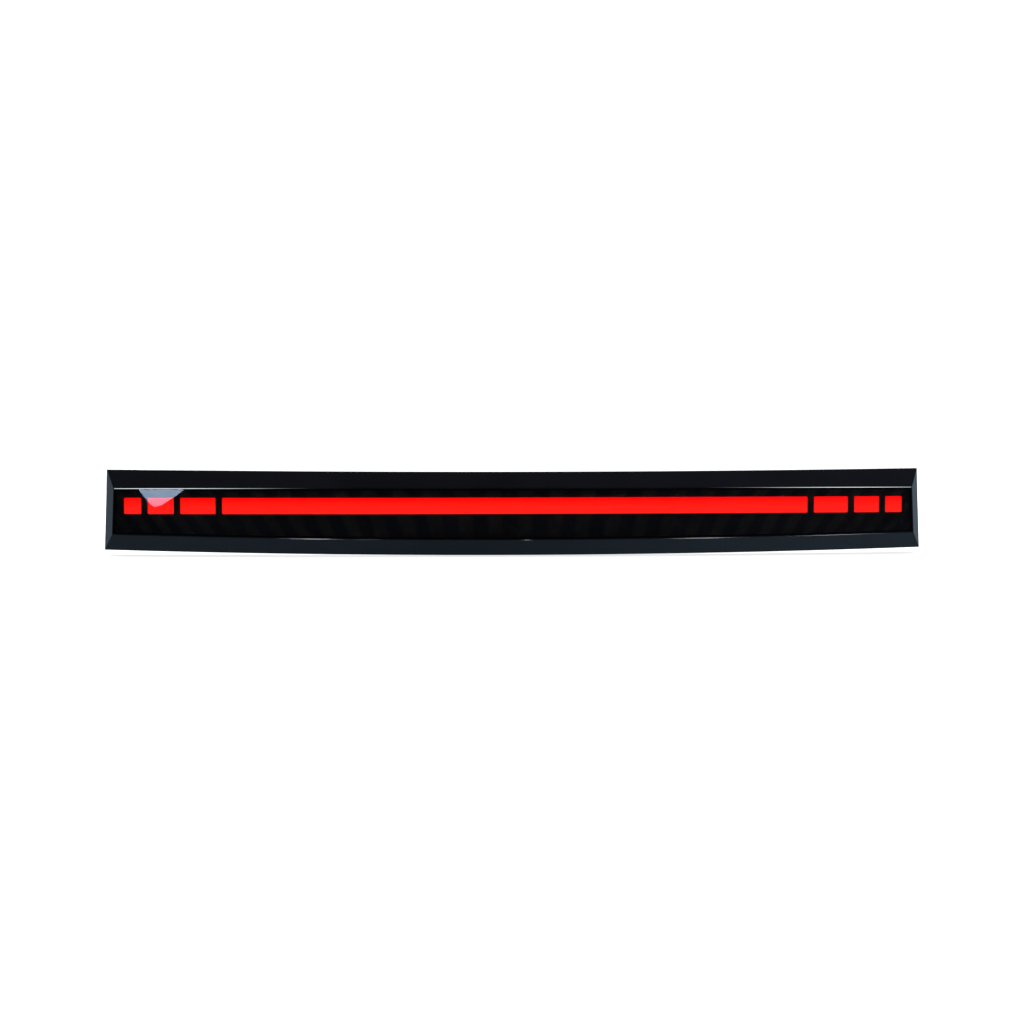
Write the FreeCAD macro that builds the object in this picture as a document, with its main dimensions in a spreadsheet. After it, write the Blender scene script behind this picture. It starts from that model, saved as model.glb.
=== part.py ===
import FreeCAD, Part
import math
import os
import re

import Sketcher
from FreeCAD import Placement, Rotation, Vector

# A high-level third brake light: a long smoked lens with bevelled edges over seven red light tiles, on a black
# housing that drops into a pocket of the tailgate. Millimetres. X runs along the lamp, -Y points out of the
# lens towards the traffic behind, +Z is up. The origin lies on the pocket's floor, where the seals of the two
# stud bosses press, midway between the studs.
#
# The whole lamp is bent to one curve in plan, convex to the rear of the car. A "depth" below is measured from
# the lens's front surface along that curve's radius, and "across" is the X of a point.

# The driving dimensions: name, value.
DIMENSIONS = [
    # the curve in plan, and the lens's front surface ahead of the mounting plane
    ("curve_radius", 1600), ("front_offset", 40), ("sweep_angle", 16.4),
    # the lens: its rim outline, the smaller outline of its face, its bevel, skirt and wall
    ("rim_half_top", 209), ("rim_half_bottom", 210.6), ("rim_top_end", 20.6), ("rim_top_middle", 19.1),
    ("rim_bottom_end", -20.6), ("rim_bottom_middle", -23.1), ("face_half_top", 203.1),
    ("face_half_bottom", 204.1), ("face_top", 11.1), ("face_bottom_end", -12.3), ("face_bottom_middle", -14.85),
    ("bevel_depth", 10), ("skirt_end", 13.8), ("lens_wall", 2.4), ("edge_round", 0.7),
    # the light row: tile height and place, and the half-row from the middle outwards
    ("tile_height", 7.95), ("row_height", 2.17), ("tile_gap", 3.42), ("centre_tile", 296.3), ("inner_tile", 17.85),
    ("middle_tile", 13.2), ("outer_tile", 8.75), ("tile_front", 3.5), ("tile_back", 6.6), ("tile_round", 0.3),
    ("flange_front", 4.75), ("flange_reach", 1.2), ("window_play", 0.15),
    # the bezel behind the lens
    ("bezel_front", 3.1), ("bezel_wall", 1.6), ("bezel_end", 12.1),
    # the light box and its cells
    ("light_box_half", 200.6), ("light_box_height", 12.4), ("light_box_back", 14.4), ("cell_floor", 12.9),
    ("cell_margin", 0.5), ("lug_radius", 2.6), ("lug_front", 12.8), ("lug_height", -7.45),
    # the lamp board and what it carries
    ("board_half", 201), ("board_height", 13), ("board_back", 15.6), ("led_width", 3.5), ("led_height", 2.8),
    ("led_depth", 1.4), ("led_pitch", 16.4), ("led_play", 0.35), ("chip_height", -0.1), ("resistor_height", 5.6),
    ("flat_play", 0.012),
    # the screws
    ("screw_radius", 1.25), ("screw_tip", 19.5), ("screw_head_radius", 2.2), ("screw_head_height", 1.4),
    ("drive_width", 1.5), ("drive_depth", 0.7),
    # the housing: flange, locating lip, tray, posts and ribs
    ("flange_depth", 14.4), ("flange_back", 16.6), ("flange_inset", 0.6), ("flange_bite", 0.6), ("lip_inset", 2.8),
    ("lip_wall", 1.6), ("tray_half", 203.2), ("tray_top", 14), ("tray_bottom", -12.5), ("tray_wall", 1.8),
    ("tray_floor", 21), ("tray_back", 23.2), ("post_radius", 2.8), ("rib_thickness", 1.5), ("rib_proud", 2.2),
    ("rib_height", 7), ("long_rib_half", 197), ("long_rib_proud", 1.6), ("gusset_tip", -7), ("gusset_foot", 1.6),
    ("gusset_margin", 0.8),
    # sealing
    ("bead_inset", 0.2), ("bead_width", 2.4), ("gasket_inset", 0.8), ("gasket_width", 4), ("gasket_depth", 2.5),
    ("seal_thickness", 3),
    # the two mounting studs
    ("stud_spacing", 220), ("stud_radius", 2.5), ("stud_tip", 16), ("stud_point", 1), ("stud_head_radius", 4.5),
    ("stud_head_height", 2.5), ("stud_seat", -9.5), ("shoulder_radius", 3.3), ("shoulder_end", -1),
    ("boss_radius", 8), ("boss_start", -14), ("seal_hole_radius", 3.8),
    # the plug socket in the middle of the back
    ("socket_height", -2), ("shroud_width", 18), ("shroud_height", 11), ("shroud_wall", 1.4), ("shroud_mouth", 10),
    ("shroud_floor", -8), ("shroud_back", -10), ("shroud_round", 1.6), ("tower_width", 37), ("tower_height", 18),
    ("tower_start", -18), ("tower_face", -3), ("socket_flange_width", 34), ("socket_flange_height", 16.4),
    ("socket_flange_thickness", 1.4), ("socket_seal_thickness", 0.9), ("socket_play", 0.2),
    ("socket_screw_spacing", 27.2), ("socket_screw_depth", 7), ("terminal_spacing", 7), ("terminal_width", 2.8),
    ("terminal_thickness", 0.8), ("terminal_root", -25.5), ("terminal_tip", 1), ("key_width", 1.6),
    ("key_height", 1.1), ("latch_width", 6), ("latch_reach", 1.8),
    # the breather
    ("vent_radius", 5.5), ("vent_height", 3.6), ("vent_wall", 1.1), ("vent_slot", 1.4), ("membrane_radius", 3.8),
    ("membrane_thickness", 0.3), ("vent_hole", 1.6),
    # the spring clips near both ends
    ("clip_width", 10), ("cheek_width", 1), ("cheek_play", 0.35), ("blade_thickness", 2.4), ("blade_start", -7.4),
    ("blade_tip", 8), ("blade_root", -3), ("strip_thickness", 0.5), ("clip_start", -2), ("knuckle_along", 9.4),
    ("knuckle_height", 3), ("curl_radius", 0.6), ("knuckle_play", 0.1), ("knuckle_wall", 0.4),
    ("shoulder_along", 2.2), ("shoulder_height", 6.4), ("catch_along", 0.9), ("catch_height", 4.8),
]

LEDS_IN_CENTRE_TILE = 18
SCREW_PLACES = (-180, -65, 65, 180)
BOARD_RIBS = (-196, -150, -88, -35, 35, 88, 150, 196)
OUTER_RIBS = (-194, -170, -152, -134, -90, -72, 72, 90, 134, 152, 170, 194)
LONG_RIB_HEIGHTS = (9.5, -6.5)
STUD_PLACES = {"left": -110, "right": 110}
CLIP_PLACES = {"left": -185, "right": 185}
VENT_PLACE = 48

doc = FreeCAD.newDocument("ThirdBrakeLight")
sheet = doc.addObject("Spreadsheet::Sheet", "dims")
ALIASES = {name for name, _ in DIMENSIONS}
parts = {}


# ---- the sheet and its expressions --------------------------------------------------------------------------

def fill_sheet():
    for row, (name, value) in enumerate(DIMENSIONS, start=1):
        sheet.set(f"A{row}", name)
        sheet.set(f"B{row}", str(value))
        sheet.setAlias(f"B{row}", name)
    doc.recompute()


def bound(text):
    """An expression over the sheet's names, as FreeCAD reads it."""
    return re.sub(r"[a-z_]+", lambda m: f"dims.{m.group()}" if m.group() in ALIASES else m.group(), str(text))


def size(text):
    """The value of an expression over the sheet's names."""
    return float(sheet.evalExpression(bound(text)))


def bind(item, **properties):
    for name, text in properties.items():
        item.setExpression(name.replace("__", "."), bound(text))
    return item


# ---- places on the curve ------------------------------------------------------------------------------------

def along(across, depth):
    """Y of the point at this X, this deep behind the lens's front surface."""
    radius = size("curve_radius") - depth
    return size("curve_radius - front_offset") - math.sqrt(radius * radius - across * across)


def station(across, depth, height):
    """A frame on the radius that crosses the flange at X = across: x along the curve, y inwards, z up."""
    angle = math.asin(across / size("curve_radius - flange_depth"))
    radius = size("curve_radius") - depth
    point = Vector(radius * math.sin(angle), size("curve_radius - front_offset") - radius * math.cos(angle), height)
    return Placement(point, Rotation(Vector(0, 0, 1), math.degrees(angle)))


# ---- building blocks ----------------------------------------------------------------------------------------

def block(name, width, height, start, end, across="0", middle="0"):
    """A box centred on X = across and Z = middle, from Y = start to Y = end."""
    item = doc.addObject("Part::Box", name)
    return bind(item, Length=width, Width=f"({end}) - ({start})", Height=height,
                Placement__Base__x=f"({across}) - ({width}) / 2", Placement__Base__y=start,
                Placement__Base__z=f"({middle}) - ({height}) / 2")


def block_on_curve(name, width, height, front, back, across, middle):
    """A box turned to the curve at X = across, between two depths."""
    item = doc.addObject("Part::Box", name)
    bind(item, Length=width, Width=f"({back}) - ({front})", Height=height)
    corner = Placement(Vector(-size(width) / 2, 0, -size(height) / 2), Rotation())
    item.Placement = station(across, size(front), size(middle)).multiply(corner)
    return item


def rod(name, radius, start, end, across="0", middle="0"):
    """A cylinder from Y = start to Y = end."""
    item = doc.addObject("Part::Cylinder", name)
    item.Placement.Rotation = Rotation(Vector(1, 0, 0), -90)
    return bind(item, Radius=radius, Height=f"({end}) - ({start})", Placement__Base__x=across,
                Placement__Base__y=start, Placement__Base__z=middle)


def rod_on_curve(name, radius, front, back, across, middle):
    """A cylinder along the curve's radius, between two depths."""
    item = doc.addObject("Part::Cylinder", name)
    bind(item, Radius=radius, Height=f"({back}) - ({front})")
    turn = Placement(Vector(), Rotation(Vector(1, 0, 0), -90))
    item.Placement = station(across, size(front), size(middle)).multiply(turn)
    return item


def cross_rod(name, radius, width, across, start, middle):
    """A cylinder along X, centred on X = across."""
    item = doc.addObject("Part::Cylinder", name)
    item.Placement.Rotation = Rotation(Vector(0, 1, 0), 90)
    return bind(item, Radius=radius, Height=width, Placement__Base__x=f"({across}) - ({width}) / 2",
                Placement__Base__y=start, Placement__Base__z=middle)


def joined(kind, name, items):
    item = doc.addObject(kind, name)
    setattr(item, "Links" if kind == "Part::Compound" else "Shapes", items)
    return item


def fused(name, items):
    return joined("Part::MultiFuse", name, items)


def shared(name, items):
    return joined("Part::MultiCommon", name, items)


def group(name, items):
    return joined("Part::Compound", name, items)


def cut(name, base, tools):
    """The base less all the tools."""
    item = doc.addObject("Part::Cut", name)
    item.Base = base
    item.Tool = tools[0] if len(tools) == 1 else group(f"{name}Tools", tools)
    return item


def rounded(item, radius, direction):
    """The item with its straight edges along this direction rounded."""
    doc.recompute()
    fillet = doc.addObject("Part::Fillet", f"{item.Name}Rounded")
    fillet.Base = item
    fillet.Edges = [(number, size(radius), size(radius)) for number, edge in enumerate(item.Shape.Edges, start=1)
                    if len(edge.Vertexes) == 2 and isinstance(edge.Curve, Part.Line)
                    and abs((edge.Vertexes[1].Point - edge.Vertexes[0].Point).normalize().dot(direction)) > 0.999]
    item.Visibility = False
    return fillet


def profile(body, corners):
    """A closed sketch in Y and Z, each corner held at two expressions."""
    sketch = body.newObject("Sketcher::SketchObject", "Profile")
    plane = next(item for item in body.Origin.OriginFeatures if item.Role == "YZ_Plane")
    sketch.AttachmentSupport = [(plane, "")]
    sketch.MapMode = "FlatFace"
    points = [Vector(size(x), size(y), 0) for x, y in corners]
    for start, end in zip(points, points[1:] + points[:1]):
        sketch.addGeometry(Part.LineSegment(start, end), False)
    for line, (x, y) in enumerate(corners):
        sketch.addConstraint(Sketcher.Constraint("Coincident", line, 2, (line + 1) % len(corners), 1))
        for kind, text in (("DistanceX", x), ("DistanceY", y)):
            index = sketch.addConstraint(Sketcher.Constraint(kind, -1, 1, line, 1, size(text)))
            sketch.setExpression(f"Constraints[{index}]", bound(text))
    return sketch


def band(name, front, back, bottom, top):
    """A slab bent to the curve: a rectangle between two depths and two heights, revolved about its axis."""
    body = doc.addObject("PartDesign::Body", name)
    near, far = f"({front}) - curve_radius", f"({back}) - curve_radius"
    turn = body.newObject("PartDesign::Revolution", "Turn")
    turn.Profile = profile(body, [(near, bottom), (far, bottom), (far, top), (near, top)])
    turn.ReferenceAxis = (turn.Profile[0], ["V_Axis"])
    turn.Midplane = True
    bind(turn, Angle="sweep_angle")
    return bind(body, Placement__Base__y="curve_radius - front_offset")


def bar(name, front, back, width, height, across="0", middle="0", corner=None):
    """A length of a bent slab, cut square across at its ends and rounded at its corners if one is given."""
    window = block(f"{name}Window", width, height, "-front_offset - 2", "20", across, middle)
    if corner:
        window = rounded(window, corner, Vector(0, 1, 0))
    slab = band(f"{name}Slab", front, back, f"({middle}) - ({height}) / 2 - 1", f"({middle}) + ({height}) / 2 + 1")
    return shared(name, [slab, window])


def extruded(name, corners, width, across):
    """A bar along X, centred on X = across, whose section in Y and Z has these corners."""
    body = doc.addObject("PartDesign::Body", name)
    pad = body.newObject("PartDesign::Pad", "Pad")
    pad.Profile = profile(body, corners)
    pad.Midplane = True
    bind(pad, Length=width)
    return bind(body, Placement__Base__x=across)


# ---- forms that follow the lens's outline -------------------------------------------------------------------

def outline(kind, depth, inset):
    """Top, bottom, left and right edges of a form at one depth: its top and bottom bow, its ends lean."""
    depth, inset = size(depth), size(inset)
    top_ends = ("face_top", "face_top") if kind == "face" else ("rim_top_end", "rim_top_middle")
    bottom_ends = (f"{kind}_bottom_end", f"{kind}_bottom_middle")
    bows = []
    for half, (end, middle), sign in ((f"{kind}_half_top", top_ends, -1), (f"{kind}_half_bottom", bottom_ends, 1)):
        reach, end, middle = size(half) - inset, size(end) + sign * inset, size(middle) + sign * inset
        left, right = (Vector(x, along(x, depth), end) for x in (-reach, reach))
        bows.append(Part.Arc(left, Vector(0, along(0, depth), middle), right).toShape())
    top, bottom = bows
    return [top, bottom] + [Part.makeLine(top.Vertexes[end].Point, bottom.Vertexes[end].Point) for end in (0, 1)]


def ruled_form(name, rings, soft=None):
    """A solid whose sides run straight from each outline to the next; the first outline's corners may be soft."""
    faces = [Part.makeRuledSurface(near, far) for ring, behind in zip(rings, rings[1:])
             for near, far in zip(ring, behind)]
    faces += [Part.makeRuledSurface(ring[0], ring[1]) for ring in (rings[0], rings[-1])]
    shell = Part.makeShell(faces)
    shell.sewShape()
    solid = Part.makeSolid(shell)
    if soft:
        ends = [vertex.Point for edge in rings[0] for vertex in edge.Vertexes]
        front = [edge for edge in solid.Edges
                 if any(vertex.Point.distanceToPoint(end) < 0.01 for vertex in edge.Vertexes for end in ends)]
        solid = solid.makeFillet(size(soft), front)
        solid.fix(1e-4, 1e-4, 1e-3)
    if solid.Volume < 0:
        solid.reverse()
    item = doc.addObject("Part::Feature", name)
    item.Shape = solid
    return item


def bevelled(name, offset, end, soft=None):
    """The lens's own form, offset inwards by this much, down to the depth "end"."""
    return ruled_form(name, [outline("face", offset, f"0.45 * ({offset})"),
                             outline("rim", f"bevel_depth + 0.4 * ({offset})", offset),
                             outline("rim", end, offset)], soft)


def rim_slab(name, front, back, inset):
    return ruled_form(name, [outline("rim", front, inset), outline("rim", back, inset)])


def rim_ring(name, front, back, inset, width):
    """A ring that follows the rim, between two depths."""
    return cut(name, rim_slab(f"{name}Outer", front, back, inset),
               [rim_slab(f"{name}Inner", f"({front}) - 1", f"({back}) + 1", f"({inset}) + ({width})")])


def part(label, item):
    """Names a finished sub-part after its real-life piece."""
    item.Label = label
    parts[label] = item
    return item


# ---- the light row ------------------------------------------------------------------------------------------

def tile_row():
    """The seven tiles: name, X of its middle and width, as expressions."""
    row = [("centre", "0", "centre_tile")]
    edge = "centre_tile / 2"
    for name, width in (("inner", "inner_tile"), ("middle", "middle_tile"), ("outer", "outer_tile")):
        place = f"{edge} + tile_gap + {width} / 2"
        row += [(f"left_{name}", f"-({place})", width), (f"right_{name}", place, width)]
        edge = f"{edge} + tile_gap + {width}"
    return row


def led_places():
    places = [(number - (LEDS_IN_CENTRE_TILE - 1) / 2) * size("led_pitch") for number in range(LEDS_IN_CENTRE_TILE)]
    return places + [size(place) for name, place, _ in tile_row() if name != "centre"]


def build_lens():
    outer = bevelled("LensOuter", "0", "skirt_end", soft="edge_round")
    inner = bevelled("LensInner", "lens_wall", "skirt_end + 1")
    part("lens", cut("Lens", outer, [inner]))
    part("lens_sealant", rim_ring("Sealant", "skirt_end", "flange_depth", "bead_inset", "bead_width"))


def build_bezel():
    outer = bevelled("BezelOuter", "bezel_front", "bezel_end")
    inner = bevelled("BezelInner", "bezel_front + bezel_wall", "bezel_end + 1")
    windows = []
    for name, place, width in tile_row():
        window = block(f"BezelWindow_{name}", f"{width} + 2 * window_play", "tile_height + 2 * window_play",
                       "-front_offset - 2", "0", place, "row_height")
        windows.append(rounded(window, "tile_round + window_play", Vector(0, 1, 0)))
    part("bezel", cut("Bezel", outer, [inner] + windows))


def build_tiles():
    for name, place, width in tile_row():
        face = bar(f"Tile_{name}", "tile_front", "tile_back", width, "tile_height", place, "row_height",
                   corner="tile_round")
        flange = bar(f"TileFlange_{name}", "flange_front", "tile_back", f"{width} + 2 * flange_reach",
                     "tile_height + 2 * flange_reach", place, "row_height")
        part(f"diffuser_{name}", fused(f"Diffuser_{name}", [face, flange]))


def build_light_box():
    solids = [bar("LightBoxBar", "tile_back", "light_box_back", "2 * light_box_half", "light_box_height",
                  middle="row_height")]
    hollows = [bar(f"Cell_{name}", "tile_back - 1", "cell_floor", f"{width} + 2 * cell_margin",
                   "tile_height + 2 * cell_margin", place, "row_height") for name, place, width in tile_row()]
    for number, place in enumerate(SCREW_PLACES):
        solids.append(rod_on_curve(f"Lug{number}", "lug_radius", "lug_front", "light_box_back", place, "lug_height"))
        solids.append(block_on_curve(f"LugWeb{number}", "2 * lug_radius", "4", "lug_front", "light_box_back - 0.2",
                                     place, "lug_height + 2"))
        hollows.append(rod_on_curve(f"LugHole{number}", "screw_radius + 0.2", "lug_front - 1", "light_box_back + 1",
                                    place, "lug_height"))
    for number, place in enumerate(led_places()):
        hollows.append(block_on_curve(f"LedHole{number}", "led_width + 2 * led_play", "led_height + 2 * led_play",
                                      "cell_floor - 0.5", "light_box_back + 0.5", place, "row_height"))
    part("light_box", cut("LightBox", fused("LightBoxSolid", solids), hollows))


# ---- the lamp board -----------------------------------------------------------------------------------------

def chips(label, width, height, depth, places, middle):
    """A row of the same component on the back of the board."""
    part(label, group(f"{label}_row", [
        block_on_curve(f"{label}_{number}", width, height, "board_back + flat_play", f"board_back + {depth}", place,
                       middle)
        for number, place in enumerate(places)]))


def build_board():
    plate = bar("BoardPlate", "light_box_back", "board_back", "2 * board_half", "board_height", middle="row_height")
    slots = [block(f"BoardSlot{number}", "terminal_width", "terminal_thickness", "terminal_root - 3",
                   "terminal_root + 4", place, "socket_height")
             for number, place in enumerate(("-terminal_spacing / 2", "terminal_spacing / 2"))]
    part("lamp_board", cut("LampBoard", plate, slots))
    part("leds", group("Leds", [
        block_on_curve(f"Led{number}", "led_width", "led_height", "light_box_back - led_depth", "light_box_back",
                       place, "row_height") for number, place in enumerate(led_places())]))
    chips("resistors", "3.2", "1.6", "0.6", [place for middle in (-172, -112, -50, 50, 112, 172)
                                              for place in (middle - 5, middle, middle + 5)], "resistor_height")
    chips("driver_chips", "6.4", "4.6", "1.6", (-128, -60, 60, 128), "chip_height")
    chips("capacitors", "3.2", "2.6", "1.9", (-140, -75, 24, 75, 140), "chip_height")
    chips("protection_diode", "5.2", "3.6", "2.3", (-22,), "chip_height")


def screw(name, front, tip, place):
    """A pan-head screw along the curve's radius, with a square drive in its head."""
    head = rod_on_curve(f"{name}Head", "screw_head_radius", f"({front}) - screw_head_height", front, place,
                        "lug_height")
    shank = rod_on_curve(f"{name}Shank", "screw_radius", front, tip, place, "lug_height")
    drive = block_on_curve(f"{name}Drive", "drive_width", "drive_width", f"({front}) - screw_head_height - 1",
                           f"({front}) - screw_head_height + drive_depth", place, "lug_height")
    return cut(name, fused(f"{name}Solid", [head, shank]), [drive])


def build_screws():
    part("light_box_screws", group("LightBoxScrews", [
        screw(f"BoxScrew{number}", "lug_front", "screw_tip", place) for number, place in enumerate(SCREW_PLACES)]))


# ---- the housing --------------------------------------------------------------------------------------------

def tray_inside(name, front):
    return bar(name, front, "tray_floor", "2 * (tray_half - tray_wall)", "tray_top - tray_bottom - 2 * tray_wall",
               middle="(tray_top + tray_bottom) / 2")


def build_housing():
    middle = "(tray_top + tray_bottom) / 2"
    flange = cut("Flange", rim_slab("FlangePlate", "flange_depth", "flange_back", "flange_inset"),
                 [tray_inside("FlangeOpening", "flange_depth - 2")])
    lip = rim_ring("Lip", "bezel_end", "flange_depth + flange_bite", "lip_inset", "lip_wall")
    tray = cut("Tray", bar("TrayOuter", "flange_depth + flange_bite", "tray_back", "2 * tray_half",
                           "tray_top - tray_bottom", middle=middle), [tray_inside("TrayInside", "flange_depth - 2")])
    solids = [flange, lip, tray]
    hollows = []
    for number, place in enumerate(SCREW_PLACES):
        solids.append(rod_on_curve(f"Post{number}", "post_radius", "light_box_back", "tray_floor + 1", place,
                                   "lug_height"))
        hollows.append(rod_on_curve(f"PostHole{number}", "screw_radius", "light_box_back - 1", "screw_tip + 0.5",
                                    place, "lug_height"))
    for number, place in enumerate(BOARD_RIBS):
        solids.append(block_on_curve(f"BoardRib{number}", "rib_thickness", "rib_height", "board_back + flat_play",
                                     "tray_floor + 1", place, "row_height"))
    for number, place in enumerate(OUTER_RIBS):
        solids.append(block_on_curve(f"OuterRib{number}", "rib_thickness", "tray_top - tray_bottom - 4",
                                     "tray_back - 1", "tray_back + rib_proud", place, middle))
    for number, height in enumerate(LONG_RIB_HEIGHTS):
        solids.append(bar(f"LongRib{number}", "tray_back - 1", "tray_back + long_rib_proud", "2 * long_rib_half",
                          "rib_thickness", middle=str(height)))
    for side, place in STUD_PLACES.items():
        solids.append(rod(f"Boss_{side}", "boss_radius", "boss_start", "-seal_thickness", str(place)))
        hollows.append(rod(f"HeadPocket_{side}", "stud_head_radius", "-20", "stud_seat", str(place)))
        hollows.append(rod(f"StudHole_{side}", "shoulder_radius", "stud_seat - 1", "0", str(place)))
        for name, inner, outer in (("Upper", "boss_radius - 1", "tray_top - gusset_margin"),
                                   ("Lower", "1 - boss_radius", "tray_bottom + gusset_margin")):
            corners = [("boss_start", inner), ("boss_start", outer), ("boss_start + gusset_foot", outer),
                       ("gusset_tip", inner)]
            solids.append(extruded(f"{name}Gusset_{side}", corners, "rib_thickness", str(place)))
    for side, place in CLIP_PLACES.items():
        solids.append(block(f"Blade_{side}", "clip_width", "blade_thickness", "blade_start", "blade_tip", str(place)))
        solids.append(block(f"BladeRoot_{side}", "clip_width + 4", "blade_thickness + 4", "blade_start",
                            "blade_root", str(place)))
    tower = block("Tower", "tower_width", "tower_height", "tower_start", "tower_face", middle="socket_height")
    solids.append(rounded(tower, "2", Vector(0, 1, 0)))
    hollows.append(block("TowerOpening", "shroud_width + 2 * (shroud_wall + socket_play)",
                         "shroud_height + 2 * (shroud_wall + socket_play)", "-22", "0", middle="socket_height"))
    for number, side in enumerate(("-1", "1")):
        hollows.append(rod(f"TowerHole{number}", "screw_radius", "tower_face - socket_screw_depth", "0",
                           f"{side} * socket_screw_spacing / 2", "socket_height"))
    hollows.append(rod_on_curve("VentHole", "vent_hole", "tray_floor - 1", "tray_back + 1", VENT_PLACE, "row_height"))
    part("housing", cut("Housing", fused("HousingSolid", solids), hollows))


def build_seals_and_studs():
    part("body_gasket", rim_ring("BodyGasket", "flange_back", "flange_back + gasket_depth", "gasket_inset",
                                 "gasket_width"))
    studs, seals = [], []
    for side, place in STUD_PLACES.items():
        head = rod(f"StudHead_{side}", "stud_head_radius", "stud_seat - stud_head_height", "stud_seat", str(place))
        shoulder = rod(f"StudShoulder_{side}", "shoulder_radius", "stud_seat", "shoulder_end", str(place))
        shank = rod(f"StudShank_{side}", "stud_radius", "shoulder_end", "stud_tip - stud_point", str(place))
        point = doc.addObject("Part::Cone", f"StudPoint_{side}")
        point.Placement.Rotation = Rotation(Vector(1, 0, 0), -90)
        bind(point, Radius1="stud_radius", Radius2="stud_radius - stud_point * 0.7", Height="stud_point",
             Placement__Base__x=str(place), Placement__Base__y="stud_tip - stud_point")
        studs.append(fused(f"Stud_{side}", [head, shoulder, shank, point]))
        ring = rod(f"SealRing_{side}", "boss_radius", "-seal_thickness", "0", str(place))
        seals.append(cut(f"Seal_{side}", ring, [rod(f"SealHole_{side}", "seal_hole_radius", "-seal_thickness - 1",
                                                    "1", str(place))]))
    part("mounting_studs", group("Studs", studs))
    part("stud_seals", group("StudSeals", seals))


# ---- the plug socket ----------------------------------------------------------------------------------------

def build_socket():
    outer_width, outer_height = "shroud_width + 2 * shroud_wall", "shroud_height + 2 * shroud_wall"
    seat = "tower_face + socket_seal_thickness"
    back = f"{seat} + socket_flange_thickness"
    along_y = Vector(0, 1, 0)
    screw_places = [f"{side} * socket_screw_spacing / 2" for side in ("-1", "1")]

    shroud = rounded(block("Shroud", outer_width, outer_height, "shroud_back", "shroud_mouth",
                           middle="socket_height"), "shroud_round", along_y)
    flange = rounded(block("SocketFlange", "socket_flange_width", "socket_flange_height", seat, back,
                           middle="socket_height"), "2", along_y)
    top = "socket_height + shroud_height / 2 + shroud_wall"
    latch = extruded("LatchRamp", [("shroud_mouth - 6", f"{top} - 0.5"), ("shroud_mouth - 1.5", f"{top} - 0.5"),
                                   ("shroud_mouth - 1.5", f"{top} + 0.3"),
                                   ("shroud_mouth - 5.2", f"{top} + latch_reach"),
                                   ("shroud_mouth - 6", f"{top} + latch_reach")], "latch_width", "0")
    cavity = rounded(block("ShroudCavity", "shroud_width", "shroud_height", "shroud_floor", "shroud_mouth + 1",
                           middle="socket_height"), "0.8", along_y)
    key = block("ShroudKey", "key_width", "key_height + 1", "shroud_floor - 1", "shroud_mouth - 2", across="6",
                middle="socket_height - shroud_height / 2 + key_height / 2 - 0.5")
    slots = [block(f"SocketSlot{number}", "terminal_width", "terminal_thickness", "shroud_back - 1",
                   "shroud_floor + 1", place, "socket_height")
             for number, place in enumerate(("-terminal_spacing / 2", "terminal_spacing / 2"))]
    holes = [rod(f"SocketHole{number}", "screw_radius + 0.2", "-5", "2", place, "socket_height")
             for number, place in enumerate(screw_places)]
    shell = cut("SocketShell", fused("SocketSolid", [shroud, flange, latch]), [cavity] + holes)
    part("connector_socket", cut("Socket", fused("SocketKeyed", [shell, key]), slots))

    seal = rounded(block("SocketSealPlate", "socket_flange_width", "socket_flange_height", "tower_face", seat,
                         middle="socket_height"), "2", along_y)
    opening = block("SocketSealOpening", f"{outer_width} + 2 * socket_play", f"{outer_height} + 2 * socket_play",
                    "tower_face - 1", "0", middle="socket_height")
    seal_holes = [rod(f"SocketSealHole{number}", "screw_radius + 0.2", "tower_face - 1", "0", place,
                      "socket_height") for number, place in enumerate(screw_places)]
    part("connector_seal", cut("SocketSeal", seal, [opening] + seal_holes))

    part("terminal_pins", group("Terminals", [
        block(f"Terminal{number}", "terminal_width", "terminal_thickness", "terminal_root", "terminal_tip", place,
              "socket_height") for number, place in enumerate(("-terminal_spacing / 2", "terminal_spacing / 2"))]))

    screws = []
    for number, place in enumerate(screw_places):
        head = rod(f"SocketScrewHead{number}", "screw_head_radius", back, f"{back} + screw_head_height", place,
                   "socket_height")
        shank = rod(f"SocketScrewShank{number}", "screw_radius", "tower_face - socket_screw_depth + 0.5", back,
                    place, "socket_height")
        drive = block(f"SocketScrewDrive{number}", "drive_width", "drive_width",
                      f"{back} + screw_head_height - drive_depth", f"{back} + screw_head_height + 1", place,
                      "socket_height")
        screws.append(cut(f"SocketScrew{number}", fused(f"SocketScrewSolid{number}", [head, shank]), [drive]))
    part("socket_screws", group("SocketScrews", screws))


def build_breather():
    def disc(name, radius, front, back):
        return rod_on_curve(name, radius, front, back, VENT_PLACE, "row_height")

    outer = disc("VentOuter", "vent_radius", "tray_back + flat_play", "tray_back + vent_height")
    inner = disc("VentInner", "vent_radius - vent_wall", "tray_back - 1", "tray_back + vent_height - vent_wall")
    slots = [block_on_curve("VentSlotAcross", "2 * vent_radius + 2", "vent_slot", "tray_back - 1",
                            "tray_back + vent_slot", VENT_PLACE, "row_height"),
             block_on_curve("VentSlotUp", "vent_slot", "2 * vent_radius + 2", "tray_back - 1",
                            "tray_back + vent_slot", VENT_PLACE, "row_height")]
    part("breather_cap", cut("VentCap", outer, [inner] + slots))
    part("breather_membrane", disc("VentMembrane", "membrane_radius", "tray_back + flat_play",
                                   "tray_back + membrane_thickness"))


# ---- the spring clips ---------------------------------------------------------------------------------------

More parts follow.
